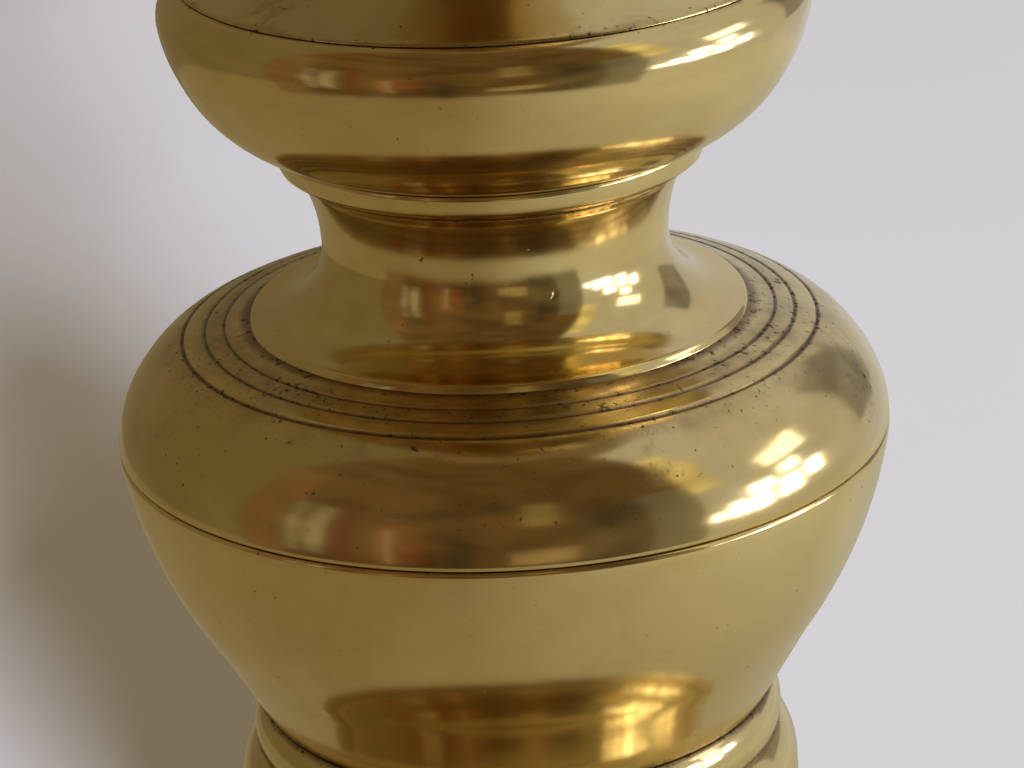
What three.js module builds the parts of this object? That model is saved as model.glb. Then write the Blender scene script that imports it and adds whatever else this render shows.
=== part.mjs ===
// A turned brass candlestick: cast sections stacked on a steel tie rod, with a drip pan and a
// candle cup that screws on to the rod's top end. Millimetres, +Z up, origin at the centre of
// the resting face.
import * as THREE from 'three';

// ---- Driving dimensions -------------------------------------------------------------------
const GAP = 0.3; // clearance between neighbouring pieces
const FINE = 36; // sides of the wide turned pieces
const SIDES = 24; // sides of the other turned pieces
const SLIM = 20; // sides of the small ones

const ROD_R = 4; // M8 tie rod
const BORE_R = ROD_R + GAP;
const NUT_FLATS = 13; // across the flats of an M8 nut
const REGISTER_R = 9; // spigot that centres one section in the next
const REGISTER_H = 1.8;
const WEB = 4; // wall left at each end of a cored section

const FELT_H = 1.2;
const FOOT_R = 50;
const FOOT_Z = FELT_H + GAP;
const FOOT_TOP = 32;
const BOSS_Z = 20; // underside of the foot's central boss

const BODY_R = 32.75; // the widest part of the stem
const COLLAR_Z = 50.5; // underside of the two-beaded collar
const CONE_Z = 64.1; // joint of the collar and the cone
const SEAM_Z = 88; // joint of the cone and the dome
const STEP_Z = 98; // where the neck's disc stands out of the dome
const RING_Z = 111.2; // underside of the ring under the bulb
const BULB_Z = 113.6;
const CREASE_Z = 127.8; // joint of the bulb's cup and cap
const SHAFT_RING_Z = 133.2;
const SHAFT_Z = 138.5;
const KNOP_Z = 184.2;
const UPPER_SHAFT_Z = 204.2;
const PAN_SEAT_Z = 240.2;
const COUNTERBORE_R = 10.2; // pocket for the upper nut
const COUNTERBORE_Z = 246;
const PAN_Z = 256.3; // underside of the drip pan's hub
const PAN_R = 42;
const CUP_Z = 259.3; // where the candle cup stands on the pan
const CUP_FLOOR_Z = 277;
const SPIGOT_R = 6.2; // the cup's threaded spigot
const SPIGOT_Z = 253.2;
const CANDLE_R = 11.2; // bore for a 22 mm candle
const HEIGHT = 305;
const ROD_TOP = 263.4;
const ROD_BOTTOM = 6;

// ---- Materials ----------------------------------------------------------------------------
function brass() {
  return new THREE.MeshStandardMaterial({ color: 0xb09a55, roughness: 0.25, metalness: 1 });
}

function steel() {
  return new THREE.MeshStandardMaterial({ color: 0x8f9194, roughness: 0.45, metalness: 1 });
}

function felt() {
  return new THREE.MeshStandardMaterial({ color: 0x24452f, roughness: 0.95, metalness: 0 });
}

// ---- Outlines -----------------------------------------------------------------------------
// An outline is drawn up the outside of a piece and down its inside, as [radius, height] points.
class Outline {
  constructor(radius, height) {
    this.points = [new THREE.Vector2(radius, height)];
  }

  to(radius, height) {
    this.points.push(new THREE.Vector2(radius, height));
    return this;
  }

  // A circular arc to a new point. Positive rise bulges to the right of the way it is drawn,
  // which is outwards on the outside of a piece; negative rise makes a hollow.
  arc(radius, height, rise, steps) {
    const start = this.points[this.points.length - 1];
    const end = new THREE.Vector2(radius, height);
    const chord = end.clone().sub(start);
    const half = chord.length() / 2;
    const arcRadius = (half * half + rise * rise) / (2 * Math.abs(rise));
    const side = new THREE.Vector2(chord.y, -chord.x).normalize().multiplyScalar(Math.sign(rise));
    const middle = start.clone().add(end).multiplyScalar(0.5);
    const centre = middle.addScaledVector(side, Math.abs(rise) - arcRadius);
    const spoke = start.clone().sub(centre);
    const turn = 2 * Math.asin(Math.min(1, half / arcRadius)) * Math.sign(rise);
    for (let i = 1; i < steps; i += 1) {
      const at = spoke.clone().rotateAround(new THREE.Vector2(), (turn * i) / steps);
      this.points.push(at.add(centre));
    }
    return this.to(radius, height);
  }

  // Closes a stem section: the recess in its top that takes the next section's spigot, a cored
  // hollow where there is room, and the bore for the tie rod.
  closeSection(top, bottom, coreRadius = 0) {
    this.to(REGISTER_R + GAP, top).to(REGISTER_R + GAP, top - REGISTER_H - GAP);
    this.to(BORE_R, top - REGISTER_H - GAP);
    if (coreRadius > 0) {
      const roof = top - REGISTER_H - GAP - WEB;
      const floor = bottom + WEB;
      this.to(BORE_R, roof).to(coreRadius, roof).to(coreRadius, floor).to(BORE_R, floor);
    }
    return this.close();
  }

  close() {
    this.points.push(this.points[0].clone());
    return this;
  }
}

// Starts a stem section at the lower end of the spigot on its underside.
function spigot(bottom, radius) {
  return new Outline(BORE_R, bottom - REGISTER_H)
    .to(REGISTER_R, bottom - REGISTER_H)
    .to(REGISTER_R, bottom)
    .to(radius, bottom);
}

// ---- Mesh makers --------------------------------------------------------------------------
const candlestick = new THREE.Group();

function addMesh(name, geometry, material) {
  const mesh = new THREE.Mesh(geometry, material);
  mesh.name = name;
  candlestick.add(mesh);
  return mesh;
}

function turn(name, outline, sides, material) {
  const geometry = new THREE.LatheGeometry(outline.points, sides);
  geometry.rotateX(Math.PI / 2);
  return addMesh(name, geometry, material);
}

function ring(name, inner, outer, bottom, top, sides, material) {
  const outline = new Outline(inner, bottom).to(outer, bottom).to(outer, top).to(inner, top);
  return turn(name, outline.close(), sides, material);
}

function hexNut(name, bottom, height) {
  const corner = NUT_FLATS / Math.sqrt(3);
  const shape = new THREE.Shape();
  for (let i = 0; i < 6; i += 1) {
    const angle = (i * Math.PI) / 3;
    const x = corner * Math.cos(angle);
    const y = corner * Math.sin(angle);
    if (i === 0) shape.moveTo(x, y);
    else shape.lineTo(x, y);
  }
  shape.closePath();
  shape.holes.push(new THREE.Path().absarc(0, 0, BORE_R, 0, 2 * Math.PI, true));
  const options = { depth: height, bevelEnabled: false, curveSegments: SLIM };
  const nut = addMesh(name, new THREE.ExtrudeGeometry(shape, options), steel());
  nut.position.z = bottom;
}

// A spring washer is a ring with one cut through it.
function springWasher(name, bottom, height) {
  const outer = 7;
  const cut = 0.16; // half the angle of the cut, in radians
  const shape = new THREE.Shape();
  shape.absarc(0, 0, outer, cut, 2 * Math.PI - cut, false);
  shape.absarc(0, 0, BORE_R, 2 * Math.PI - cut, cut, true);
  shape.closePath();
  const options = { depth: height, bevelEnabled: false, curveSegments: 18 };
  const washer = addMesh(name, new THREE.ExtrudeGeometry(shape, options), steel());
  washer.position.z = bottom;
}

// ---- Base ---------------------------------------------------------------------------------
function feltRing() {
  ring('felt_ring', FOOT_R - 4.9, FOOT_R - 0.9, 0, FELT_H, FINE, felt());
}

// The foot is a hollow casting: a stepped rim, a low dome and a concave rise to the stem, with
// a boss inside that the tie rod pulls against.
function baseFoot() {
  const outline = new Outline(FOOT_R - 5.5, FOOT_Z)
    .to(FOOT_R, FOOT_Z)
    .to(FOOT_R, 6)
    .arc(FOOT_R - 2.2, 8.2, 0.9, 2)
    .to(FOOT_R - 4.5, 8.2)
    .arc(35.4, 14, 1.5, 3)
    .to(34.6, 15)
    .arc(24.4, 27.6, -2.4, 4)
    .to(24.4, 29)
    .arc(24, FOOT_TOP, 0.8, 2)
    .to(REGISTER_R + GAP, FOOT_TOP)
    .to(REGISTER_R + GAP, FOOT_TOP - REGISTER_H - GAP)
    .to(BORE_R, FOOT_TOP - REGISTER_H - GAP)
    .to(BORE_R, BOSS_Z)
    .to(10, BOSS_Z)
    .to(10, 25)
    .to(19.5, 25)
    .arc(33.5, 12.2, 1.6, 3)
    .to(FOOT_R - 7, 6)
    .close();
  turn('base_foot', outline, FINE, brass());
}

function baseSpool() {
  const bottom = FOOT_TOP + GAP;
  const top = COLLAR_Z - GAP;
  const outline = spigot(bottom, 22)
    .arc(21.6, bottom + 4.2, 1.4, 3)
    .to(20.2, bottom + 4.6)
    .arc(20.6, top - 1.6, -3.2, 5)
    .to(22.2, top - 1.2)
    .to(22.2, top)
    .closeSection(top, bottom, 13);
  turn('base_spool', outline, SIDES, brass());
}

// ---- The stem that is seen closest ----------------------------------------------------------
function beadedCollar() {
  const top = CONE_Z - GAP;
  const groove = 60.1;
  const outline = spigot(COLLAR_Z, 22)
    .arc(24.25, 55.6, 0.9, 3)
    .arc(22.65, groove, 0.5, 3)
    .arc(22.1, top, 0.5, 3)
    .closeSection(top, COLLAR_Z, 13);
  turn('beaded_collar', outline, SIDES, brass());
}

function bodyCone() {
  const top = SEAM_Z - GAP / 2;
  const outline = spigot(CONE_Z, 22.2)
    .arc(29.2, 77, 0.15, 2)
    .arc(BODY_R - 0.1, top - 0.7, 0.6, 5)
    .to(BODY_R - 0.1, top)
    .closeSection(top, CONE_Z, 14.8);
  turn('body_cone', outline, SIDES, brass());
}

// The dome closes the body and carries the disc of the neck.
function bodyDome() {
  const bottom = SEAM_Z + GAP / 2;
  const seat = STEP_Z - 0.6;
  const outline = spigot(bottom, BODY_R - 0.15)
    .arc(30.7, 93.5, 0.45, 3)
    .arc(26.7, 96.9, 0.3, 2)
    .to(21.4, STEP_Z + 0.3)
    .to(21.4, seat)
    .closeSection(seat, bottom);
  turn('body_dome', outline, SIDES, brass());
}

function stemNeck() {
  const bottom = STEP_Z - GAP;
  const top = RING_Z - GAP;
  const outline = spigot(bottom, 21)
    .to(21, STEP_Z + 0.85)
    .arc(14.5, 105.6, -2.1, 5)
    .arc(15.7, 110.4, -0.25, 3)
    .to(16.3, top)
    .closeSection(top, bottom);
  turn('stem_neck', outline, SIDES, brass());
}

// A loose ring with a rounded edge, clamped between the neck and the bulb.
function neckRing() {
  const top = BULB_Z - GAP;
  const outline = new Outline(REGISTER_R + GAP, RING_Z)
    .to(16.7, RING_Z)
    .to(18.05, 112.1)
    .to(18.05, 112.8)
    .to(17.7, top)
    .to(REGISTER_R + GAP, top)
    .close();
  turn('neck_ring', outline, SIDES, brass());
}

function bulbCup() {
  const top = CREASE_Z - GAP / 2;
  const outline = new Outline(BORE_R, RING_Z - GAP - REGISTER_H)
    .to(REGISTER_R, RING_Z - GAP - REGISTER_H)
    .to(REGISTER_R, BULB_Z)
    .to(17.5, BULB_Z)
    .arc(25, 120.1, 0.75, 4)
    .arc(26.7, 124.9, 0.38, 2)
    .arc(25.05, top, 0.5, 2)
    .closeSection(top, BULB_Z, 12);
  turn('bulb_cup', outline, SIDES, brass());
}

function bulbCap() {
  const bottom = CREASE_Z + GAP / 2;
  const top = SHAFT_RING_Z - GAP;
  const outline = spigot(bottom, 24.85)
    .to(24.65, bottom + 0.4)
    .arc(13.2, top, -0.5, 3)
    .closeSection(top, bottom);
  turn('bulb_cap', outline, SIDES, brass());
}

// ---- Upper stem ---------------------------------------------------------------------------
function shaftRing() {
  const top = SHAFT_Z - GAP;
  const outline = spigot(SHAFT_RING_Z, 13.4)
    .arc(13.4, top, 2.2, 4)
    .closeSection(top, SHAFT_RING_Z);
  turn('shaft_ring', outline, SLIM, brass());
}

function lowerShaft() {
  const top = KNOP_Z - GAP;
  const outline = spigot(SHAFT_Z, 13)
    .to(13, SHAFT_Z + 1.2)
    .arc(10.6, SHAFT_Z + 10, -0.8, 3)
    .to(9.8, KNOP_Z - 15)
    .arc(12, top - 2, -0.8, 3)
    .to(13.2, top - 1.5)
    .to(13.2, top)
    .closeSection(top, SHAFT_Z);
  turn('lower_shaft', outline, SLIM, brass());
}

function shaftKnop() {
  const top = UPPER_SHAFT_Z - GAP;
  const outline = spigot(KNOP_Z, 13.6)
    .to(13.6, KNOP_Z + 1.4)
    .arc(20.2, KNOP_Z + 9.6, 1.9, 3)
    .arc(13.4, top - 1.6, 1.9, 3)
    .to(13.4, top)
    .closeSection(top, KNOP_Z);
  turn('shaft_knop', outline, SLIM, brass());
}

function upperShaft() {
  const top = PAN_SEAT_Z - GAP;
  const outline = spigot(UPPER_SHAFT_Z, 13)
    .to(13, UPPER_SHAFT_Z + 1.2)
    .arc(9.8, UPPER_SHAFT_Z + 10, -1, 3)
    .to(10.2, PAN_SEAT_Z - 11)
    .arc(12.2, top - 2, -0.7, 3)
    .to(13, top)
    .closeSection(top, UPPER_SHAFT_Z);
  turn('upper_shaft', outline, SLIM, brass());
}

// The pan seat flares out to carry the drip pan. Its deep counterbore holds the nut that clamps
// the stem, and leaves room for the retainer on the candle cup.
function panSeat() {
  const top = PAN_Z - GAP;
  const outline = spigot(PAN_SEAT_Z, 13.4)
    .to(13.4, PAN_SEAT_Z + 1.4)
    .to(12, PAN_SEAT_Z + 2.2)
    .arc(19.4, top - 3, 2, 3)
    .to(20.4, top - 2)
    .to(20.4, top)
    .to(COUNTERBORE_R, top)
    .to(COUNTERBORE_R, COUNTERBORE_Z)
    .to(BORE_R, COUNTERBORE_Z)
    .close();
  turn('pan_seat', outline, SIDES, brass());
}

// ---- Drip pan and candle cup ----------------------------------------------------------------
function dripPan() {
  const floor = PAN_Z + 2.6;
  const outline = new Outline(SPIGOT_R + GAP, PAN_Z)
    .to(18, PAN_Z)
    .to(19, PAN_Z + 1)
    .to(32, PAN_Z + 1)
    .arc(PAN_R - 1.2, 264, 1.6, 3)
    .to(PAN_R, 265.4)
    .to(PAN_R - 0.4, 266.4)
    .to(PAN_R - 2, 266.2)
    .arc(31.5, floor, -1.6, 3)
    .to(SPIGOT_R + GAP, floor)
    .close();
  turn('drip_pan', outline, FINE, brass());
}

function candleCup() {
  const outline = new Outline(BORE_R, SPIGOT_Z)
    .to(SPIGOT_R, SPIGOT_Z)
    .to(SPIGOT_R, CUP_Z)
    .to(14, CUP_Z)
    .arc(13.2, CUP_Z + 3, 0.7, 2)
    .arc(10.6, CUP_Z + 9, -1.6, 3)
    .arc(17.2, 285, 2.2, 4)
    .arc(15.2, 297.5, 0.9, 3)
    .arc(20.4, 303.2, -1.2, 3)
    .arc(19.8, HEIGHT, 0.5, 2)
    .to(CANDLE_R + 1, HEIGHT)
    .to(CANDLE_R, HEIGHT - 1)
    .to(CANDLE_R, CUP_FLOOR_Z)
    .to(0, CUP_FLOOR_Z)
    .points;
  // The tapped hole is blind, so the outline crosses the axis above and below the floor.
  const hole = [new THREE.Vector2(0, ROD_TOP + 2.6), new THREE.Vector2(BORE_R, ROD_TOP + 2.6)];
  const body = [...hole, ...outline];
  const geometry = new THREE.LatheGeometry(body, SIDES);
  geometry.rotateX(Math.PI / 2);
  addMesh('candle_cup', geometry, brass());
}

// The retainer is fixed to the cup's spigot and keeps the pan from falling off it.
function panRetainer() {
  ring('pan_retainer', SPIGOT_R + GAP, 8.8, SPIGOT_Z + 0.4, SPIGOT_Z + 2.4, SLIM, steel());
}

// ---- Clamping hardware ----------------------------------------------------------------------
function tieRod() {
  const chamfer = 0.8;
  const outline = new Outline(0, ROD_BOTTOM)
    .to(ROD_R - chamfer, ROD_BOTTOM)
    .to(ROD_R, ROD_BOTTOM + chamfer)
    .to(ROD_R, ROD_TOP - chamfer)
    .to(ROD_R - chamfer, ROD_TOP)
    .to(0, ROD_TOP);
  turn('tie_rod', outline, 16, steel());
}

function clampHardware() {
  const plateH = 2;
  const springH = 1.6;
  const nutH = 6.5;
  const plateZ = BOSS_Z - GAP - plateH;
  const springZ = plateZ - GAP - springH;
  ring('clamp_washer', BORE_R, 15, plateZ, plateZ + plateH, SLIM, steel());
  springWasher('spring_washer', springZ, springH);
  hexNut('base_nut', springZ - GAP - nutH, nutH);
  const washerH = 1.4;
  const washerZ = COUNTERBORE_Z + GAP;
  ring('stem_washer', BORE_R, 8.5, washerZ, washerZ + washerH, SLIM, steel());
  hexNut('stem_nut', washerZ + washerH + GAP, 4);
}

// ---- Assembly -------------------------------------------------------------------------------
feltRing();
baseFoot();
baseSpool();
beadedCollar();
bodyCone();
bodyDome();
stemNeck();
neckRing();
bulbCup();
bulbCap();
shaftRing();
lowerShaft();
shaftKnop();
upperShaft();
panSeat();
dripPan();
candleCup();
panRetainer();
tieRod();
clampHardware();

export default candlestick;
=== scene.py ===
"""Looks of the brass candlestick: fine turned meshes, aged brass, felt and steel, floor and light.

Outlines are in millimetres, [radius, height], as in the CAD part; meshes are in metres."""
import math

import bmesh
import bpy
import numpy as np
from mathutils import Matrix, Vector, noise


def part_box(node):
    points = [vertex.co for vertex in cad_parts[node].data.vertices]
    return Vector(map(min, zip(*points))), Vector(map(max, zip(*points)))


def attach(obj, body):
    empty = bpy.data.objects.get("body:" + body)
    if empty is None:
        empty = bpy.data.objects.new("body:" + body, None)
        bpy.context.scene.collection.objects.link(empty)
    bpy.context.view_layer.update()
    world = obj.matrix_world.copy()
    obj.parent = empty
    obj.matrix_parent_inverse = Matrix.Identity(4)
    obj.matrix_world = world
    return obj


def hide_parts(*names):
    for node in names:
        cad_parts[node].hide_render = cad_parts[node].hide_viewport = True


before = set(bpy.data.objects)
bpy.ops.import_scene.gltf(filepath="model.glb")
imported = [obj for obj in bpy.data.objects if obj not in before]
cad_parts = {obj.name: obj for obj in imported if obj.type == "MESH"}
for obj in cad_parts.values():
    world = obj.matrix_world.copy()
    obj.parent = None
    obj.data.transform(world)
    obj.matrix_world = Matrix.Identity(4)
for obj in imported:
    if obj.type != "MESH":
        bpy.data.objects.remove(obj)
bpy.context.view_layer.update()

MM = 0.001
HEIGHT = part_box("candle_cup")[1].z / MM
FOOT_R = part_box("base_foot")[1].x / MM
CAD_SPIGOT = 1.8  # how far the CAD's spigots reach below their own sections
SEAM_Z = (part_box("body_cone")[1].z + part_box("body_dome")[0].z + CAD_SPIGOT * MM) / 2 / MM
JOINT = 0.02  # half the hairline between two clamped sections
BORE_R = 4.3  # clear of the M8 rod
REGISTER_R = 9.0  # the spigots that centre one section in the next
RECESS_R, RECESS_DEEP = REGISTER_R + 0.3, 2.1  # what takes the next section's spigot
SPIGOT_DEEP = 1.5  # drawn a little shorter than the CAD's


# ---- Camera -------------------------------------------------------------------------------
def add_camera():
    """A long lens from 21 degrees above the horizon, with the stem's top leaning a little left."""
    aim = Vector((0.8, 0.0, SEAM_Z + 3.1)) * MM
    elevation, roll, distance = math.radians(20.94), math.radians(-2.716), 0.3212
    back = Vector((0, -math.cos(elevation), math.sin(elevation)))
    data = bpy.data.cameras.new("camera")
    data.sensor_width = 36
    data.lens = 133.6
    data.clip_start, data.clip_end = 0.01, 50
    camera = bpy.data.objects.new("camera", data)
    camera.location = aim + back * distance
    turn = (-back).to_track_quat("-Z", "Y").to_matrix().to_4x4()
    camera.rotation_euler = (turn @ Matrix.Rotation(roll, 4, "Z")).to_euler()
    bpy.context.collection.objects.link(camera)
    bpy.context.scene.camera = camera


# ---- Outlines -----------------------------------------------------------------------------
class Outline:
    """A line of [radius, height] points in mm, drawn up the outside of a piece."""

    def __init__(self, radius, height):
        self.points = [np.array([radius, height], float)]
        self.marks = []

    def to(self, radius, height):
        self.points.append(np.array([radius, height], float))
        return self

    def arc(self, radius, height, rise):
        """A circular arc. Positive rise bulges outwards, negative rise hollows."""
        start, end = self.points[-1], np.array([radius, height], float)
        chord = end - start
        length = np.hypot(*chord)
        half = length / 2
        arc_radius = (half * half + rise * rise) / (2 * abs(rise))
        side = np.array([chord[1], -chord[0]]) / length * math.copysign(1, rise)
        centre = (start + end) / 2 + side * (abs(rise) - arc_radius)
        turn = 2 * math.asin(min(1, half / arc_radius)) * math.copysign(1, rise)
        steps = max(4, int(abs(turn) * arc_radius / 0.25))
        spoke = start - centre
        for i in range(1, steps):
            a = turn * i / steps
            spin = np.array([[math.cos(a), -math.sin(a)], [math.sin(a), math.cos(a)]])
            self.points.append(centre + spin @ spoke)
        return self.to(radius, height)

    def groove(self, radius, height, width, depth):
        """A rounded groove cut square to the line from the last point to this one, at its end."""
        start, end = self.points[-1], np.array([radius, height], float)
        along = (end - start) / np.hypot(*(end - start))
        inward = np.array([-along[1], along[0]])
        before = end - along * width / 2
        after = end + along * width / 2
        self.points.append(before)
        self.points.append(before + along * width * 0.3 + inward * depth)
        self.mark(1.0, 0.30)
        self.points.append(after - along * width * 0.3 + inward * depth)
        self.points.append(after)
        return self

    def mark(self, strength, reach):
        """Dirt gathers at the last point, out to about this reach in mm."""
        self.marks.append((self.points[-1].copy(), strength, reach))
        return self


def smoothed(points, softness, step=0.09):
    """The line evenly spaced, with its corners rounded to about this radius in mm."""
    points = np.array(points)
    gaps = np.hypot(*np.diff(points, axis=0).T)
    at = np.concatenate([[0], np.cumsum(gaps)])
    count = max(8, int(at[-1] / step))
    even = np.linspace(0, at[-1], count + 1)
    line = np.stack([np.interp(even, at, points[:, k]) for k in (0, 1)], 1)
    reach = max(1, int(3 * softness / step))
    kernel = np.exp(-0.5 * (np.arange(-reach, reach + 1) * step / softness) ** 2)
    kernel /= kernel.sum()
    first, last = line[0], line[-1]
    before = 2 * first - line[1 : reach + 1][::-1]
    after = 2 * last - line[-reach - 1 : -1][::-1]
    padded = np.concatenate([before, line, after])
    return np.stack([np.convolve(padded[:, k], kernel, "valid") for k in (0, 1)], 1)


def thinned(line, sag=0.004, longest=1.3, sharpest=math.radians(12)):
    """Keeps only the points that the line's shape needs."""
    kept, turned, since = [line[0]], 0.0, 0.0
    for i in range(1, len(line) - 1):
        a, b = line[i] - line[i - 1], line[i + 1] - line[i]
        since += np.hypot(*a)
        cross = a[0] * b[1] - a[1] * b[0]
        turned += math.atan2(cross, float(a @ b))
        if since > longest or abs(turned) > sharpest or since * abs(turned) / 8 > sag:
            kept.append(line[i])
            turned, since = 0.0, 0.0
    kept.append(line[-1])
    return np.array(kept)


# ---- Turned pieces ------------------------------------------------------------------------
def waver(p, size):
    """A hand-polished surface isn't quite true: a slow wander of a few hundredths of a mm."""
    slow = noise.noise(Vector((p[0] / 16 + 3, p[1] / 16, p[2] / 11)))
    quick = noise.noise(Vector((p[0] / 6, p[1] / 6 + 7, p[2] / 5)))
    return size * (slow + 0.35 * quick)


def turned(name, shown, hidden, material, slot, body="stand", sides=176, softness=0.16,
           wander=0.03):
    """A closed piece turned about Z. shown is the outline that is seen, and hidden is the list
    of points that closes it round the inside. Its vertices carry dirt and the way along it."""
    line = thinned(smoothed(shown.points, softness))
    along = np.concatenate([[0], np.cumsum(np.hypot(*np.diff(line, axis=0).T))])
    dirt = np.zeros(len(line))
    for spot, strength, reach in shown.marks:
        away = np.hypot(*(line - spot).T)
        dirt = np.maximum(dirt, strength * np.exp(-((away / reach) ** 2)))
    inside = [np.array(p, float) for p in hidden]
    rows = [*line, *inside]
    far = along[-1]
    ways = [*along, *[far + 2.0 * (k + 1) for k in range(len(inside))]]
    dirts = [*dirt, *[0.55] * len(inside)]
    onaxis = [row[0] < 1e-6 for row in rows]
    splits = [k for k in range(len(rows) - 1) if onaxis[k] and onaxis[k + 1]]
    mesh = bpy.data.meshes.new(name)
    bm = bmesh.new()
    way_layer = bm.verts.layers.float.new("way")
    dirt_layer = bm.verts.layers.float.new("dirt")
    rings = []
    for k, (r, z) in enumerate(rows):
        ring = []
        for i in range(1 if onaxis[k] else sides):
            a = 2 * math.pi * i / sides
            p = np.array([r * math.sin(a), -r * math.cos(a), z])
            if k < len(line) and wander:
                move = waver(p, wander)
                p[0] -= abs(move) * math.sin(a)
                p[1] += abs(move) * math.cos(a)
            v = bm.verts.new(p * MM)
            v[way_layer] = ways[k]
            v[dirt_layer] = dirts[k]
            ring.append(v)
        rings.append(ring)
    for k in range(len(rows)):
        if k in splits:
            continue
        low, high = rings[k], rings[(k + 1) % len(rows)]
        for i in range(sides):
            j = (i + 1) % sides
            corners = [low[i % len(low)], low[j % len(low)], high[j % len(high)],
                       high[i % len(high)]]
            face = bm.faces.new(list(dict.fromkeys(corners)))
            face.smooth = True
    bm.normal_update()
    if bm.calc_volume(signed=True) < 0:
        bmesh.ops.reverse_faces(bm, faces=bm.faces)
    bm.to_mesh(mesh)
    bm.free()
    piece = bpy.data.objects.new(name + "_turned", mesh)
    bpy.context.collection.objects.link(piece)
    mesh.materials.append(material)
    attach(piece, body)
    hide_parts(name)


def section(name, shown, material, slot, core=0.0, **options):
    """A stem section: its shown outline, then the recess, core, bore and spigot inside it."""
    lip, wall = 1.4, 4.0
    first, last = shown.points[0], shown.points[-1]
    bottom, top = first[1], last[1]
    shown.points.insert(0, np.array([first[0] - lip, bottom]))
    shown.to(last[0] - lip, top)
    floor = top - RECESS_DEEP
    inside = [(RECESS_R, top), (RECESS_R, floor), (BORE_R, floor)]
    if core:
        inside += [(BORE_R, floor - wall), (core, floor - wall), (core, bottom + wall),
                   (BORE_R, bottom + wall)]
    inside += [(BORE_R, bottom - SPIGOT_DEEP), (REGISTER_R, bottom - SPIGOT_DEEP),
               (REGISTER_R, bottom)]
    turned(name, shown, inside, material, slot, **options)


# ---- Materials ----------------------------------------------------------------------------
class Tree:
    """A short way to write a material's nodes."""

    def __init__(self, name):
        self.material = bpy.data.materials.new(name)
        self.material.use_nodes = True
        self.nodes = self.material.node_tree.nodes
        self.links = self.material.node_tree.links
        self.shader = self.nodes["Principled BSDF"]

    def put(self, socket, value):
        if isinstance(value, bpy.types.NodeSocket):
            self.links.new(value, socket)
        else:
            socket.default_value = value

    def node(self, kind, output=0, settings=None, **inputs):
        n = self.nodes.new(kind)
        for key, value in (settings or {}).items():
            setattr(n, key, value)
        for key, value in inputs.items():
            self.put(n.inputs[key.replace("_", " ")], value)
        return n.outputs[output]

    def math(self, operation, a, b=0.0):
        n = self.nodes.new("ShaderNodeMath")
        n.operation = operation
        self.put(n.inputs[0], a)
        self.put(n.inputs[1], b)
        return n.outputs[0]

    def vector(self, operation, a, b=(0.0, 0.0, 0.0)):
        n = self.nodes.new("ShaderNodeVectorMath")
        n.operation = operation
        self.put(n.inputs[0], a)
        self.put(n.inputs[1], b)
        return n.outputs[0]

    def scaled(self, vector, scale):
        n = self.nodes.new("ShaderNodeVectorMath")
        n.operation = "SCALE"
        self.put(n.inputs[0], vector)
        self.put(n.inputs["Scale"], scale)
        return n.outputs[0]

    def ramp(self, value, low, high, to_low=0.0, to_high=1.0):
        n = self.nodes.new("ShaderNodeMapRange")
        n.interpolation_type = "SMOOTHSTEP"
        for key, v in zip(("Value", "From Min", "From Max", "To Min", "To Max"),
                          (value, low, high, to_low, to_high)):
            self.put(n.inputs[key], v)
        return n.outputs[0]

    def mix(self, factor, a, b):
        n = self.nodes.new("ShaderNodeMix")
        n.data_type = "RGBA"
        self.put(n.inputs[0], factor)
        self.put(n.inputs[6], a)
        self.put(n.inputs[7], b)
        return n.outputs[2]

    def noise(self, where, scale, detail=2.0, roughness=0.5, distortion=0.0):
        return self.node("ShaderNodeTexNoise", 0, {"noise_dimensions": "3D"}, Vector=where,
                         Scale=scale, Detail=detail, Roughness=roughness,
                         Distortion=distortion)

    def attribute(self, name):
        return self.node("ShaderNodeAttribute", 2, {"attribute_name": name})

    def bump(self, height, distance, strength=1.0, normal=None):
        n = self.nodes.new("ShaderNodeBump")
        self.put(n.inputs["Height"], height)
        n.inputs["Distance"].default_value = distance
        n.inputs["Strength"].default_value = strength
        if normal is not None:
            self.put(n.inputs["Normal"], normal)
        return n.outputs[0]


def rgb(r, g, b):
    return (r, g, b, 1.0)


def around(t, place, way):
    """Coordinates that run round the axis slowly and along the outline quickly, for the fine
    rings that a lathe and a polishing cloth leave."""
    unit = t.vector("NORMALIZE", t.vector("MULTIPLY", place, (1, 1, 0)))
    split = t.nodes.new("ShaderNodeSeparateXYZ")
    t.put(split.inputs[0], unit)
    join = t.nodes.new("ShaderNodeCombineXYZ")
    t.put(join.inputs[0], split.outputs[0])
    t.put(join.inputs[1], split.outputs[1])
    t.put(join.inputs[2], way)
    return join.outputs[0]


BRASS = rgb(0.72, 0.565, 0.27)
BRASS_PALE = rgb(0.76, 0.62, 0.33)
BRASS_DEEP = rgb(0.68, 0.515, 0.225)
TARNISH = rgb(0.22, 0.135, 0.07)
GRIME = rgb(0.035, 0.021, 0.016)


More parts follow.
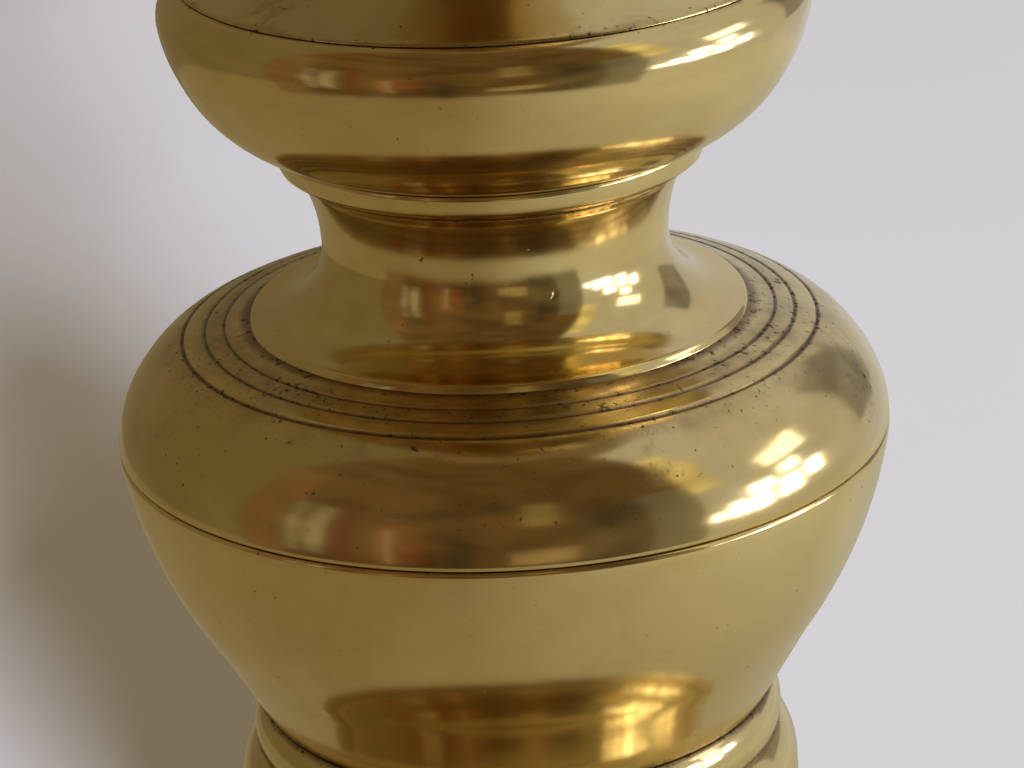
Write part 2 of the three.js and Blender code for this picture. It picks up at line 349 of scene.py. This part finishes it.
def aged_brass(name, tarnish=0.5, stains=0.5, cloudy=0.0, polish=0.095, seed=0.0):
    """Polished brass that has aged: cloudy darker patches, brown dirt in the turned hollows,
    soft dark spots in loose clusters, and very fine rings from the lathe and the cloth."""
    t = Tree(name)
    place = t.node("ShaderNodeTexCoord", 3)
    shift = t.vector("ADD", place, (seed, seed * 0.7, seed * 1.3))
    dirt = t.attribute("dirt")
    rings = around(t, place, t.math("MULTIPLY", t.attribute("way"), 0.5))
    fine_rings = around(t, place, t.math("MULTIPLY", t.attribute("way"), 4.0))

    clouds = t.noise(shift, 42, 5, 0.6, 0.5)
    cloth = t.noise(rings, 2.6, 5, 0.7)
    mottle = t.noise(shift, 300, 5, 0.65)
    patchy = t.math("ADD", t.math("MULTIPLY", clouds, 0.85), t.math("MULTIPLY", cloth, 0.15))

    colour = t.mix(t.ramp(patchy, 0.40, 0.60), BRASS_DEEP, BRASS)
    colour = t.mix(t.ramp(t.noise(shift, 95, 3, 0.5), 0.50, 0.75, 0, 0.5), colour, BRASS_PALE)

    spread = t.math("ADD", dirt, t.math("MULTIPLY", t.math("SUBTRACT", mottle, 0.5), 0.7))
    brown = t.ramp(spread, 0.20, 0.85, 0, tarnish)
    fog = t.math("ADD", t.noise(shift, 55, 6, 0.68, 0.9), t.math("MULTIPLY", dirt, 0.12))
    stain = t.ramp(fog, 0.58, 0.76, 0, stains)
    brown = t.math("MAXIMUM", brown, stain)
    film = t.ramp(t.noise(shift, 75, 5, 0.62, 0.6), 0.34, 0.66, cloudy * 0.35, cloudy)
    colour = t.mix(t.math("MAXIMUM", brown, film), colour, TARNISH)

    wobble = t.node("ShaderNodeTexNoise", 1, Vector=shift, Scale=900.0, Detail=2.0)
    ragged = t.vector("ADD", shift, t.scaled(wobble, 0.0012))
    cells = t.node("ShaderNodeTexVoronoi", 0, {"feature": "F1"}, Vector=ragged, Scale=330.0,
                   Randomness=1.0)
    crowd = t.math("ADD", t.noise(shift, 48, 4, 0.6), t.math("MULTIPLY", dirt, 0.10))
    reach = t.ramp(crowd, 0.53, 0.78, 0.0, 0.24)
    pit = t.ramp(t.math("SUBTRACT", reach, cells), 0.0, 0.13, 0, 0.9)
    grains = t.noise(shift, 1500, 3, 0.6)
    crumbs = t.math("ADD", grains, t.math("MULTIPLY", t.math("ADD", dirt, stain), 0.14))
    crumb = t.ramp(crumbs, 0.68, 0.78, 0, 0.75)
    black = t.math("MAXIMUM", t.ramp(spread, 0.80, 1.2, 0, 0.9), t.math("MAXIMUM", pit, crumb))
    colour = t.mix(black, colour, GRIME)
    t.put(t.shader.inputs["Base Color"], colour)
    t.shader.inputs["Metallic"].default_value = 1.0

    haze = t.ramp(t.noise(shift, 60, 5, 0.65, 0.3), 0.45, 0.80, 0.0, 0.05)
    scratch = t.noise(fine_rings, 3.0, 3, 0.7)
    rough = t.math("ADD", haze, t.math("MULTIPLY", scratch, 0.05))
    rough = t.math("ADD", rough, polish)
    rough = t.math("ADD", rough, t.math("MULTIPLY", t.math("MAXIMUM", brown, film), 0.20))
    rough = t.math("ADD", rough, t.math("MULTIPLY", black, 0.35))
    t.put(t.shader.inputs["Roughness"], t.math("MINIMUM", rough, 0.85))

    normal = t.bump(t.noise(shift, 150, 3, 0.5), 0.00004, 0.5)
    normal = t.bump(scratch, 0.000002, 0.5, normal)
    normal = t.bump(t.math("SUBTRACT", 1.0, pit), 0.00012, 0.6, normal)
    t.put(t.shader.inputs["Normal"], normal)
    return t.material


def dull_steel(name):
    """Plain steel hardware, slightly dulled, with a few brown specks."""
    t = Tree(name)
    place = t.node("ShaderNodeTexCoord", 3)
    clouds = t.noise(place, 180, 4, 0.6)
    grain = t.noise(place, 2600, 2, 0.6)
    colour = t.mix(t.ramp(clouds, 0.35, 0.68), rgb(0.33, 0.33, 0.34), rgb(0.48, 0.48, 0.50))
    rust = t.ramp(t.noise(place, 420, 5, 0.7), 0.62, 0.74, 0, 0.7)
    colour = t.mix(rust, colour, rgb(0.16, 0.085, 0.04))
    t.put(t.shader.inputs["Base Color"], colour)
    t.shader.inputs["Metallic"].default_value = 1.0
    rough = t.math("ADD", t.ramp(clouds, 0.3, 0.7, 0.24, 0.42), t.math("MULTIPLY", rust, 0.3))
    t.put(t.shader.inputs["Roughness"], rough)
    t.put(t.shader.inputs["Normal"], t.bump(grain, 0.00002, 0.5))
    return t.material


def wool_felt(name):
    """Green felt: matted fibres, a little pilled, with paler lint."""
    t = Tree(name)
    place = t.node("ShaderNodeTexCoord", 3)
    fibre = t.noise(place, 2400, 6, 0.75, 1.2)
    pile = t.noise(place, 420, 4, 0.6)
    colour = t.mix(t.ramp(fibre, 0.35, 0.68), rgb(0.012, 0.042, 0.022), rgb(0.035, 0.10, 0.055))
    colour = t.mix(t.ramp(pile, 0.6, 0.8, 0, 0.35), colour, rgb(0.10, 0.16, 0.11))
    t.put(t.shader.inputs["Base Color"], colour)
    t.put(t.shader.inputs["Roughness"], t.ramp(fibre, 0.3, 0.7, 0.85, 1.0))
    t.shader.inputs["Sheen Weight"].default_value = 0.4
    t.put(t.shader.inputs["Normal"], t.bump(fibre, 0.0003, 0.8))
    return t.material


brass_body = aged_brass("aged_brass_body", tarnish=0.8, stains=0.3, seed=0.0)
brass_dome = aged_brass("aged_brass_dome", tarnish=0.95, stains=0.65, cloudy=0.10, seed=0.4)
brass_cap = aged_brass("aged_brass_cap", tarnish=0.8, stains=0.6, cloudy=0.25, polish=0.10,
                       seed=0.2)
brass_plain = aged_brass("aged_brass_shaft", tarnish=0.8, stains=0.35, seed=0.9)
brass_foot = aged_brass("aged_brass_foot", tarnish=0.8, stains=0.4, seed=1.7)
brass_top = aged_brass("aged_brass_top", tarnish=0.8, stains=0.4, polish=0.1, seed=2.6)
steel = dull_steel("dull_steel")
felt = wool_felt("wool_felt")


# ---- The stem that is seen closest --------------------------------------------------------
COLLAR_Z, CONE_Z, STEP_Z, RING_Z, BULB_Z, CREASE_Z = 50.35, 63.95, 98.0, 111.2, 113.6, 127.8


def beaded_collar():
    o = Outline(21.9, COLLAR_Z + JOINT).mark(0.8, 0.4)
    o.arc(24.25, 55.6, 0.9)
    o.arc(22.85, 59.9, 0.5).to(22.5, 60.12).mark(0.9, 0.4).to(22.7, 60.4)
    o.arc(22.0, CONE_Z - JOINT, 0.5).mark(0.9, 0.5)
    section("beaded_collar", o, brass_body, "brass_stem", core=13, softness=0.1)


def body_cone():
    o = Outline(22.0, CONE_Z + JOINT).mark(0.9, 0.5)
    o.to(26.2, 71.4).arc(32.50, SEAM_Z - 0.7, 0.95)
    o.to(32.56, SEAM_Z - 0.30).to(32.38, SEAM_Z - JOINT).mark(0.5, 0.14)
    section("body_cone", o, brass_body, "brass_stem", core=14.8, softness=0.07)


def body_dome():
    o = Outline(32.30, SEAM_Z + JOINT).mark(0.5, 0.14)
    o.to(32.52, SEAM_Z + 0.2)
    o.arc(30.7, 93.5, 0.45)
    o.mark(0.20, 3.2).arc(27.5, 96.5, 0.25).mark(0.42, 2.6)
    o.groove(26.65, 96.92, 0.34, 0.13)
    o.groove(24.75, 97.5, 0.34, 0.13).mark(0.50, 2.4)
    o.groove(23.1, 97.93, 0.34, 0.13).mark(0.50, 2.4)
    o.to(21.05, STEP_Z + 0.36).mark(0.9, 0.4)
    section("body_dome", o, brass_dome, "brass_stem", softness=0.06)


def stem_neck():
    o = Outline(21.05, STEP_Z + 0.2).mark(0.7, 0.25)
    o.to(20.73, STEP_Z + 0.88).to(20.55, STEP_Z + 0.98)
    o.arc(14.5, 105.6, -2.1)
    o.arc(15.7, 110.4, -0.25)
    o.to(16.5, RING_Z - JOINT).mark(0.6, 0.3)
    section("stem_neck", o, brass_body, "brass_stem", softness=0.09)


def neck_ring():
    o = Outline(16.5, RING_Z + JOINT).mark(0.6, 0.3)
    o.to(17.55, 111.85).to(17.95, 113.3).to(17.9, BULB_Z - JOINT).mark(0.3, 0.2)
    inside = [(RECESS_R, BULB_Z - JOINT), (RECESS_R, RING_Z + JOINT)]
    o.points.insert(0, np.array([15.0, RING_Z + JOINT]))
    o.to(15.0, BULB_Z - JOINT)
    turned("neck_ring", o, inside, brass_body, "brass_stem", softness=0.08)


def bulb_cup():
    o = Outline(17.75, BULB_Z + JOINT).mark(0.4, 0.3)
    o.arc(25.2, 120.1, 1.05).arc(26.7, 124.9, 0.25).arc(25.2, CREASE_Z - JOINT, 0.4)
    o.mark(0.5, 0.2)
    top, core, wall, spigot = CREASE_Z - JOINT, 12.0, 4.0, 109.1
    floor = top - RECESS_DEEP
    o.points.insert(0, np.array([15.6, BULB_Z + JOINT]))
    o.to(23.6, top)
    inside = [(RECESS_R, top), (RECESS_R, floor), (BORE_R, floor), (BORE_R, floor - wall),
              (core, floor - wall), (core, BULB_Z + wall), (BORE_R, BULB_Z + wall),
              (BORE_R, spigot), (REGISTER_R, spigot), (REGISTER_R, BULB_Z)]
    turned("bulb_cup", o, inside, brass_body, "brass_stem", softness=0.1)


def bulb_cap():
    o = Outline(25.1, CREASE_Z + JOINT).mark(0.5, 0.9)
    o.to(24.9, CREASE_Z + 0.3)
    o.arc(13.2, 133.15, -0.5).mark(1, 0.6)
    section("bulb_cap", o, brass_cap, "brass_stem", softness=0.08)


# ---- Upper stem ---------------------------------------------------------------------------
# The CAD leaves 0.3 mm between these sections. Each is drawn longer by this much at both ends,
# which leaves a hairline.
HALF_GAP = 0.15 - JOINT


def upper_stem():
    """The ring above the bulb, the two shafts and the knop between them."""
    low, top = 133.2 - HALF_GAP, 138.2 + HALF_GAP
    o = Outline(13.3, low).mark(1, 0.4).arc(13.3, top, 2.2).mark(1, 0.4)
    section("shaft_ring", o, brass_plain, "brass_stem", sides=128)

    low, top = 138.5 - HALF_GAP, 183.9 + HALF_GAP
    o = Outline(12.9, low).mark(1, 0.4).to(13.0, 139.7).to(12.8, 140.1).mark(0.8, 0.5)
    o.arc(10.6, 148.5, -0.8).to(9.8, 169.2).arc(12.0, 181.9, -0.8).mark(0.8, 0.5)
    o.to(13.2, 182.4).to(13.2, top).mark(1, 0.4)
    section("lower_shaft", o, brass_plain, "brass_stem", sides=128)

    low, top = 184.2 - HALF_GAP, 203.9 + HALF_GAP
    o = Outline(13.5, low).mark(1, 0.4).to(13.6, 185.4).mark(0.9, 0.6)
    o.arc(20.2, 193.8, 1.9).arc(13.4, 202.3, 1.9).mark(0.9, 0.6)
    o.to(13.4, top).mark(1, 0.4)
    section("shaft_knop", o, brass_plain, "brass_stem", sides=144)

    low, top = 204.2 - HALF_GAP, 239.9 + HALF_GAP
    o = Outline(12.9, low).mark(1, 0.4).to(13.0, 205.4).to(12.8, 205.8).mark(0.8, 0.5)
    o.arc(9.8, 214.2, -1.0).to(10.2, 229.2).arc(12.2, 237.9, -0.7).mark(0.8, 0.5)
    o.to(13.0, top).mark(1, 0.4)
    section("upper_shaft", o, brass_plain, "brass_stem", sides=128)


def pan_seat():
    low, top = 240.2 - HALF_GAP, 256.0
    o = Outline(13.3, low).mark(1, 0.4).to(13.4, 241.6).to(12.1, 242.4).mark(1, 0.6)
    o.arc(19.4, 253.0, 2.0).to(20.4, 254.0).to(20.4, top).mark(0.8, 0.4)
    o.points.insert(0, np.array([12.0, low]))
    o.to(19.0, top)
    nut_room, nut_floor, spigot = 10.2, 246.0, 238.4
    inside = [(nut_room, top), (nut_room, nut_floor), (BORE_R, nut_floor), (BORE_R, spigot),
              (REGISTER_R, spigot), (REGISTER_R, low)]
    turned("pan_seat", o, inside, brass_plain, "brass_stem", sides=144)


# ---- Base ---------------------------------------------------------------------------------
def base_spool():
    low, top = 32.3 - HALF_GAP, COLLAR_Z - JOINT
    o = Outline(21.8, low).mark(1, 0.5).arc(21.6, 36.5, 1.4)
    o.to(20.4, 36.8).mark(1, 0.5)
    o.arc(20.6, 48.6, -3.2).to(22.2, 49.0).to(22.1, top).mark(1, 0.5)
    section("base_spool", o, brass_foot, "brass_foot", core=13)


def base_foot():
    top, boss, boss_end, ceiling = 32.0, 10.0, 20.0, 25.0
    o = Outline(FOOT_R - 4.5, 1.5)
    o.to(FOOT_R - 0.3, 1.5).mark(0.7, 0.5).to(FOOT_R - 0.05, 2.0).to(FOOT_R - 0.05, 6.0)
    o.arc(FOOT_R - 2.2, 8.2, 0.6).to(FOOT_R - 4.4, 8.2).mark(0.9, 0.6)
    o.arc(35.4, 14.0, 1.5).to(34.7, 14.3).mark(0.9, 0.6).to(34.6, 15.0)
    o.arc(24.4, 27.6, -2.4).to(24.3, 28.1).mark(0.9, 0.5).to(24.4, 29)
    o.arc(23.9, top + HALF_GAP, 0.8).mark(1, 0.5)
    o.to(22.0, top + HALF_GAP)
    roof = Outline(19.5, ceiling).arc(33.5, 12.2, 1.6)
    inside = [(RECESS_R, top), (RECESS_R, top - RECESS_DEEP), (BORE_R, top - RECESS_DEEP),
              (BORE_R, boss_end), (boss - 0.3, boss_end), (boss, boss_end + 0.3),
              (boss, ceiling)]
    inside += [tuple(p) for p in roof.points[::6]]
    inside += [(33.5, 12.2), (FOOT_R - 7, 6), (FOOT_R - 5.5, 1.5)]
    turned("base_foot", o, inside, brass_foot, "brass_foot", sides=256, softness=0.22)


def felt_ring():
    """Its top is glued up against the foot, a hair below it."""
    inner, outer, top = FOOT_R - 4.9, FOOT_R - 0.9, 1.46
    o = Outline(inner + 0.2, 0.0).to(outer - 0.1, 0.0).to(outer, 0.3).to(outer, 1.3)
    o.to(outer - 0.2, top)
    turned("felt_ring", o, [(inner + 0.2, top), (inner, 1.3), (inner, 0.2)], felt, "felt",
           sides=224, softness=0.08, wander=0)


# ---- Drip pan and candle cup --------------------------------------------------------------
def drip_pan():
    o = Outline(8.0, 256.3).to(18.0, 256.3).mark(0.8, 0.5).to(19.0, 257.3).to(32.0, 257.3)
    o.arc(40.8, 264.0, 1.6).to(41.7, 264.9)
    o.arc(41.6, 266.4, 0.5).arc(40.2, 266.1, 0.35)
    o.arc(31.5, 258.9, -1.6).mark(0.4, 3.0).to(14.2, 258.9).mark(1, 0.9).to(8.0, 258.9)
    turned("drip_pan", o, [(6.5, 258.9), (6.5, 256.3)], brass_top, "brass_top",
           body="pan", sides=224, softness=0.16)


def candle_cup():
    o = Outline(12.5, 259.0).to(13.9, 259.0).mark(1, 0.5).arc(13.2, 262.3, 0.7)
    o.mark(0.8, 0.6).arc(10.6, 268.3, -1.6).arc(17.2, 285.0, 2.2)
    o.arc(15.2, 297.5, 0.9).mark(0.6, 0.7).arc(20.4, 303.2, -1.2).arc(19.8, HEIGHT, 0.5)
    o.to(12.2, HEIGHT).to(11.2, HEIGHT - 1).mark(0.5, 1.2)
    o.to(11.2, 292.0).mark(0.6, 9.0).to(11.2, 277.0).mark(1, 2.5).to(0.0, 277.0)
    bore_end, spigot, spigot_end = 266.0, 6.2, 253.2
    inside = [(0, bore_end), (BORE_R, bore_end), (BORE_R, spigot_end),
              (spigot - 0.3, spigot_end), (spigot, spigot_end + 0.3), (spigot, 259.0)]
    turned("candle_cup", o, inside, brass_top, "brass_top", body="cup", softness=0.2)


# ---- Clamping hardware --------------------------------------------------------------------
def steel_piece(name, bm, smooth=False):
    mesh = bpy.data.meshes.new(name)
    for face in bm.faces:
        face.smooth = smooth
    bm.normal_update()
    if bm.calc_volume(signed=True) < 0:
        bmesh.ops.reverse_faces(bm, faces=bm.faces)
    bm.to_mesh(mesh)
    bm.free()
    piece = bpy.data.objects.new(name + "_steel", mesh)
    bpy.context.collection.objects.link(piece)
    mesh.materials.append(steel)
    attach(piece, "stand")
    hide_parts(name)


def washer(node, inner, outer, bottom, top, body="stand"):
    o = Outline(inner + 0.2, bottom).to(outer, bottom).to(outer, top).to(inner + 0.2, top)
    turned(node, o, [(inner, top), (inner, bottom)], steel, "steel", body=body, sides=64,
           softness=0.08, wander=0)


def loops_to_mesh(loops, closed=True):
    """Joins rings of points, each with the same count, into a mesh that closes on itself."""
    bm = bmesh.new()
    rows = [[bm.verts.new(Vector(p) * MM) for p in loop] for loop in loops]
    pairs = len(rows) if closed else len(rows) - 1
    for k in range(pairs):
        low, high = rows[k], rows[(k + 1) % len(rows)]
        for i in range(len(low)):
            j = (i + 1) % len(low)
            bm.faces.new([low[i], low[j], high[j], high[i]])
    return bm, rows


def hex_nut(node, bottom, top):
    """A nut with both ends turned back at its corners and a countersunk hole."""
    corner, flat, chamfer, hole, mouth, sink = 7.5, 6.5, 0.55, 4.3, 4.75, 0.45
    count, face = 72, flat - 0.1
    angles = [2 * math.pi * i / count for i in range(count)]
    edges = [min(corner, flat / math.cos((a + math.pi / 6) % (math.pi / 3) - math.pi / 6))
             for a in angles]

    def round_loop(radius, z):
        return [(radius * math.cos(a), radius * math.sin(a), z) for a in angles]

    def hex_loop(z, side):
        """The rim of one end, which drops away towards the corners."""
        return [(edge * math.cos(a), edge * math.sin(a), z + side * (edge - flat) * 0.55)
                for a, edge in zip(angles, edges)]

    halfway = mouth + (face - mouth) * 0.45
    loops = [round_loop(mouth, bottom), round_loop(halfway, bottom), round_loop(face, bottom),
             hex_loop(bottom + chamfer, 1), hex_loop(top - chamfer, -1),
             round_loop(face, top), round_loop(halfway, top), round_loop(mouth, top),
             round_loop(hole, top - sink), round_loop(hole, bottom + sink)]
    steel_piece(node, loops_to_mesh(loops)[0])


def spring_washer():
    """One turn of square wire whose ends stand a little apart."""
    low, high, inner, outer, thick = 15.8, 17.4, 4.4, 6.95, 1.25
    gap, steps = 0.17, 60
    start, end = gap, 2 * math.pi - gap
    loops = []
    for i in range(steps + 1):
        a = start + (end - start) * i / steps
        z = low + (high - low - thick) * i / steps
        corners = [(inner, z), (outer, z), (outer, z + thick), (inner, z + thick)]
        loops.append([(r * math.cos(a), r * math.sin(a), h) for r, h in corners])
    bm, rows = loops_to_mesh(loops, closed=False)
    bm.faces.new(rows[0][::-1])
    bm.faces.new(rows[-1])
    steel_piece("spring_washer", bm)


def tie_rod():
    """An M8 stud: threaded at both ends and plain between."""
    bottom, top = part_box("tie_rod")[0].z / MM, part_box("tie_rod")[1].z / MM
    pitch, depth, count, major, plain = 1.25, 0.62, 32, 3.99, 3.69
    low_end, high_start = 34.0, 240.0
    runout, chamfer, chamfer_deep = 2.0, 0.8, 0.75
    levels = [bottom]
    for start, end in ((bottom, low_end), (high_start, top)):
        rows = int((end - start) / pitch * 10)
        levels += [start + (end - start) * (i + 1) / rows for i in range(rows)]
    loops = []
    for z in levels:
        threaded = z <= low_end or z >= high_start
        cut = depth * min(1.0, abs(z - low_end) / runout, abs(z - high_start) / runout)
        ease = min(1.0, (z - bottom) / chamfer, (top - z) / chamfer)
        loop = []
        for i in range(count):
            a = 2 * math.pi * i / count
            radius = plain
            if threaded:
                phase = (z / pitch - a / (2 * math.pi)) % 1.0
                radius = major - cut * min(1.0, max(0.0, 2.4 * abs(phase - 0.5) - 0.1))
            radius = min(radius, major - chamfer_deep * (1 - ease))
            loop.append((radius * math.cos(a), radius * math.sin(a), z))
        loops.append(loop)
    bm, rows = loops_to_mesh(loops, closed=False)
    bm.faces.new(rows[0][::-1])
    bm.faces.new(rows[-1])
    steel_piece("tie_rod", bm, smooth=True)


base_foot()
base_spool()
felt_ring()
beaded_collar()
body_cone()
body_dome()
stem_neck()
neck_ring()
bulb_cup()
bulb_cap()
upper_stem()
pan_seat()
drip_pan()
candle_cup()
washer("clamp_washer", 4.3, 15, 17.7, 19.7)
washer("stem_washer", 4.3, 8.5, 246.3, 247.7)
washer("pan_retainer", 6.5, 8.8, 253.6, 255.6, body="cup")
hex_nut("base_nut", 9.0, 15.5)
hex_nut("stem_nut", 248.0, 252.0)
spring_washer()
tie_rod()
add_camera()


# ---- Floor and light ----------------------------------------------------------------------
def add_floor():
    half = 6
    mesh = bpy.data.meshes.new("floor")
    mesh.from_pydata([(-half, -half, 0), (half, -half, 0), (half, half, 0), (-half, half, 0)],
                     [], [(0, 1, 2, 3)])
    floor = bpy.data.objects.new("floor", mesh)
    bpy.context.collection.objects.link(floor)
    t = Tree("pale_floor")
    place = t.node("ShaderNodeTexCoord", 3)
    shade = t.ramp(t.noise(place, 3.0, 3), 0.3, 0.7)
    t.put(t.shader.inputs["Base Color"],
          t.mix(shade, rgb(0.60, 0.585, 0.61), rgb(0.64, 0.625, 0.65)))
    t.shader.inputs["Roughness"].default_value = 0.75
    mesh.materials.append(t.material)


def add_world():
    """A warm dim fill for the floor, and a pale room for everything else."""
    world = bpy.data.worlds.new("world")
    world.use_nodes = True
    bpy.context.scene.world = world
    nodes, links = world.node_tree.nodes, world.node_tree.links
    where = nodes.new("ShaderNodeTexCoord")
    split = nodes.new("ShaderNodeSeparateXYZ")
    links.new(where.outputs["Generated"], split.inputs[0])
    ramp = nodes.new("ShaderNodeValToRGB")
    ramp.color_ramp.elements[0].position = 0.25
    ramp.color_ramp.elements[0].color = rgb(0.60, 0.59, 0.62)
    ramp.color_ramp.elements[1].position = 0.85
    ramp.color_ramp.elements[1].color = rgb(0.22, 0.16, 0.09)
    links.new(split.outputs["Z"], ramp.inputs[0])
    fill = nodes.new("ShaderNodeMix")
    fill.data_type = "RGBA"
    kind = nodes.new("ShaderNodeLightPath")
    links.new(kind.outputs["Is Diffuse Ray"], fill.inputs[0])
    links.new(ramp.outputs[0], fill.inputs[6])
    fill.inputs[7].default_value = rgb(0.315, 0.246, 0.139)
    links.new(fill.outputs[2], nodes["Background"].inputs[0])


AIM_HEIGHT = 0.1  # where the key light points, a little above the stem's dome


def towards(azimuth, elevation, distance, height=AIM_HEIGHT):
    """A place seen from the stem: azimuth 0 is the front (-Y), and 90 is the right (+X)."""
    a, e = math.radians(azimuth), math.radians(elevation)
    return Vector((math.sin(a) * math.cos(e), -math.cos(a) * math.cos(e),
                   math.sin(e))) * distance + Vector((0, 0, height))


def add_key():
    """A far soft disc, a little right of the front. The brass shows the room and not this."""
    data = bpy.data.lights.new("key", "AREA")
    data.shape = "DISK"
    data.size = 1.16
    data.energy = 870.0
    data.color = (0.815, 0.877, 1.0)
    key = bpy.data.objects.new("key", data)
    key.location = towards(16, 24, 6.0)
    aim = Vector((0, 0, AIM_HEIGHT)) - key.location
    key.rotation_euler = aim.to_track_quat("-Z", "Y").to_euler()
    key.visible_glossy = key.visible_camera = False
    bpy.context.collection.objects.link(key)


def painted_reflection_material(name, colour, uneven=0.06, shade=None):
    """A painted reflection: an emissive colour only ever seen as a reflection in the brass. shade
    is (start x, end x, colour there), painted shade across the card.
    """
    t = Tree(name)
    place = t.node("ShaderNodeTexCoord", 3)
    tone = t.ramp(t.noise(place, 9, 4, 0.6), 0.3, 0.7, 1.0 - uneven, 1.0 + uneven)
    base = colour
    if shade:
        start, end, other = shade
        split = t.nodes.new("ShaderNodeSeparateXYZ")
        t.put(split.inputs[0], place)
        base = t.mix(t.ramp(split.outputs[0], start, end), rgb(*other), rgb(*colour))
    scaled = t.scaled(base, tone)
    t.shader.inputs["Base Color"].default_value = rgb(0, 0, 0)
    t.shader.inputs["Specular IOR Level"].default_value = 0.0
    t.shader.inputs["Emission Strength"].default_value = 1.0
    t.put(t.shader.inputs["Emission Color"], scaled)
    return t.material


def reflected_only(name, verts, faces, material):
    mesh = bpy.data.meshes.new(name)
    mesh.from_pydata(verts, [], faces)
    mesh.materials.append(material)
    card = bpy.data.objects.new(name, mesh)
    bpy.context.collection.objects.link(card)
    # A painted reflection: the card glows and is seen only in the brass, never by the camera,
    # diffuse light or shadows.
    card.visible_camera = card.visible_diffuse = card.visible_shadow = False


def panel(name, start, end, low, high, distance, colour, uneven=0.06):
    """An upright piece of a cylinder about the stem, from one azimuth to another: a glowing card
    that paints a reflection.
    """
    step_degrees = 4
    steps = max(1, int((end - start) / step_degrees))
    verts = []
    for i in range(steps + 1):
        p = towards(start + (end - start) * i / steps, 0, distance, 0)
        verts += [(p.x, p.y, low), (p.x, p.y, high)]
    faces = [(2 * i, 2 * i + 2, 2 * i + 3, 2 * i + 1) for i in range(steps)]
    reflected_only(name, verts, faces, painted_reflection_material("glow_" + name, colour, uneven))


def painted_table_reflection(distance):
    """A painted reflection of the table under the brass, with painted shade and light: dim and
    warm at the left, cool and bright at the right.
    """
    sides, lift = 48, 0.0004
    verts = [(0, 0, lift)]
    for i in range(sides):
        p = towards(360 * i / sides, 0, distance, 0)
        verts.append((p.x, p.y, lift))
    faces = [(0, i + 1, (i + 1) % sides + 1) for i in range(sides)]
    # Painted shade: darker and warmer towards the left, brighter and cooler towards the right.
    glow = painted_reflection_material("glow_table", (0.65, 0.64, 0.53),
                         shade=(-0.09, 0.20, (0.28, 0.225, 0.12)))
    reflected_only("painted_table_reflection", verts, faces, glow)


# How far from the stem each layer of the painted room reflection stands, in metres, and the
# window's panes, painted highlights, as (start azimuth, end azimuth, low, high).
WALLS, PANE, ROOM = 0.30, 0.285, 0.225
PANES = ((56, 60, 0.060, 0.088), (62, 67, 0.056, 0.108), (69, 76, 0.052, 0.098),
         (70, 78, 0.110, 0.145), (80, 88, 0.056, 0.118), (82, 90, 0.132, 0.168),
         (91, 97, 0.078, 0.122))


def add_room():
    """The painted reflection of a room in the polished brass: dark in front, with a window on the
    right.
    """
    painted_table_reflection(WALLS)
    panel("left_wall", 180, 284, 0, 1.0, WALLS, (0.20, 0.16, 0.085))
    panel("right_wall", 50, 180, 0, 0.9, WALLS, (0.60, 0.60, 0.58))
    # A dark glowing card: painted reflection of the shaded room in front of the stem.
    panel("painted_dark_room_reflection", -76, 53, 0, 1.1, ROOM, (0.130, 0.080, 0.034), uneven=0.35)
    panel("cupboard", -75, -63, 0.0, 0.30, ROOM - 0.003, (0.20, 0.115, 0.05), uneven=0.2)
    panel("curtain", -62, -50, 0.035, 0.20, ROOM - 0.004, (0.27, 0.235, 0.165), uneven=0.6)
    panel("curtain_fold", -58, -55, 0.03, 0.25, ROOM - 0.005, (0.17, 0.12, 0.07), uneven=0.5)
    panel("frame", -47, -42, 0.0, 0.24, ROOM - 0.004, (0.15, 0.06, 0.035))
    panel("shelves", -36, -20, 0.02, 0.165, ROOM - 0.004, (0.17, 0.085, 0.038), uneven=0.6)
    panel("book", -33, -31, 0.03, 0.145, ROOM - 0.005, (0.36, 0.27, 0.17))
    panel("books_low", -28, -23, 0.04, 0.10, ROOM - 0.005, (0.24, 0.09, 0.045), uneven=0.5)
    panel("chair", -16, -9, 0.0, 0.12, ROOM - 0.004, (0.085, 0.06, 0.03), uneven=0.4)
    panel("cloth", 0, 18, 0.03, 0.085, ROOM - 0.004, (0.30, 0.22, 0.12), uneven=0.6)
    panel("lamp", 4, 14, 0.17, 0.27, ROOM - 0.004, (0.26, 0.20, 0.09), uneven=0.2)
    panel("doorway", 20, 36, 0.0, 0.2, ROOM - 0.004, (0.12, 0.095, 0.055), uneven=0.6)
    panel("far_wall", 38, 52, 0.0, 0.22, ROOM - 0.004, (0.22, 0.21, 0.165), uneven=0.2)
    # Painted highlights: the panes, the sky light and the blind glow far brighter than the room.
    for k, (start, end, low, high) in enumerate(PANES):
        panel(f"pane_{k}", start, end, low, high, PANE, (7.5, 7.8, 9.0), uneven=0.5)
    panel("painted_sky_highlight", 80, 98, 0.185, 0.235, PANE, (3.0, 3.0, 3.2))
    panel("blind", 51, 64, 0.20, 0.50, PANE, (0.95, 0.84, 0.45), uneven=0.3)
    panel("dark_curtain", 120, 142, 0.08, 0.26, PANE, (0.33, 0.315, 0.29), uneven=0.4)


add_floor()
add_world()
add_key()
add_room()
bpy.context.scene.view_settings.view_transform = "Standard"
